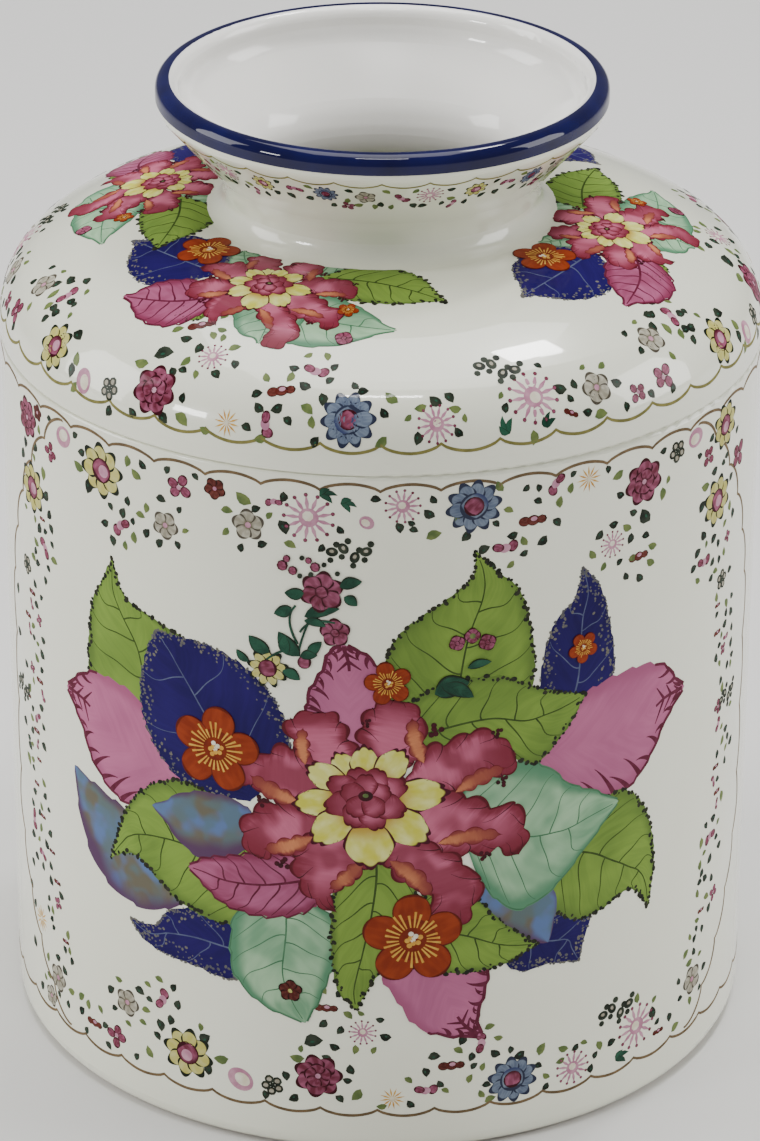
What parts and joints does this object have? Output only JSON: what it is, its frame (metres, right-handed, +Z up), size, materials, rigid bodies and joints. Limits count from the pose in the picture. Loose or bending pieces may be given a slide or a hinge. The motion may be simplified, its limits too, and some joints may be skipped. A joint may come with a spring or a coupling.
{
  "type": "ginger jar",
  "caption": "Straight-sided porcelain jar with a lift-off domed cover that has an open, flared neck, for holding stems, dry goods or as a decorative vessel.",
  "frame": {"origin": "centre of the foot ring, on the surface that the jar stands on", "axes": "+Z up along the jar's axis of revolution"},
  "size_m": [0.18, 0.18, 0.237],
  "materials": {
    "glazed_porcelain": "gloss, clear glaze over white porcelain, bare at the foot ring",
    "enamel_green": "gloss overglaze enamel",
    "enamel_celadon": "gloss overglaze enamel",
    "enamel_blue": "gloss overglaze enamel",
    "enamel_pink": "gloss overglaze enamel",
    "enamel_crimson": "gloss overglaze enamel",
    "enamel_yellow": "gloss overglaze enamel",
    "enamel_orange": "gloss overglaze enamel",
    "enamel_line": "gloss overglaze line in brown and olive"
  },
  "bodies": {
    "jar": {"jar_body": "glazed_porcelain"},
    "cover": {"dome_cover": "glazed_porcelain"}
  },
  "joints": [
    {"name": "cover_lift", "type": "slide", "parent": "jar", "child": "cover", "axis": [0, 0, 1], "range_m": [0, 0.06]}
  ]
}
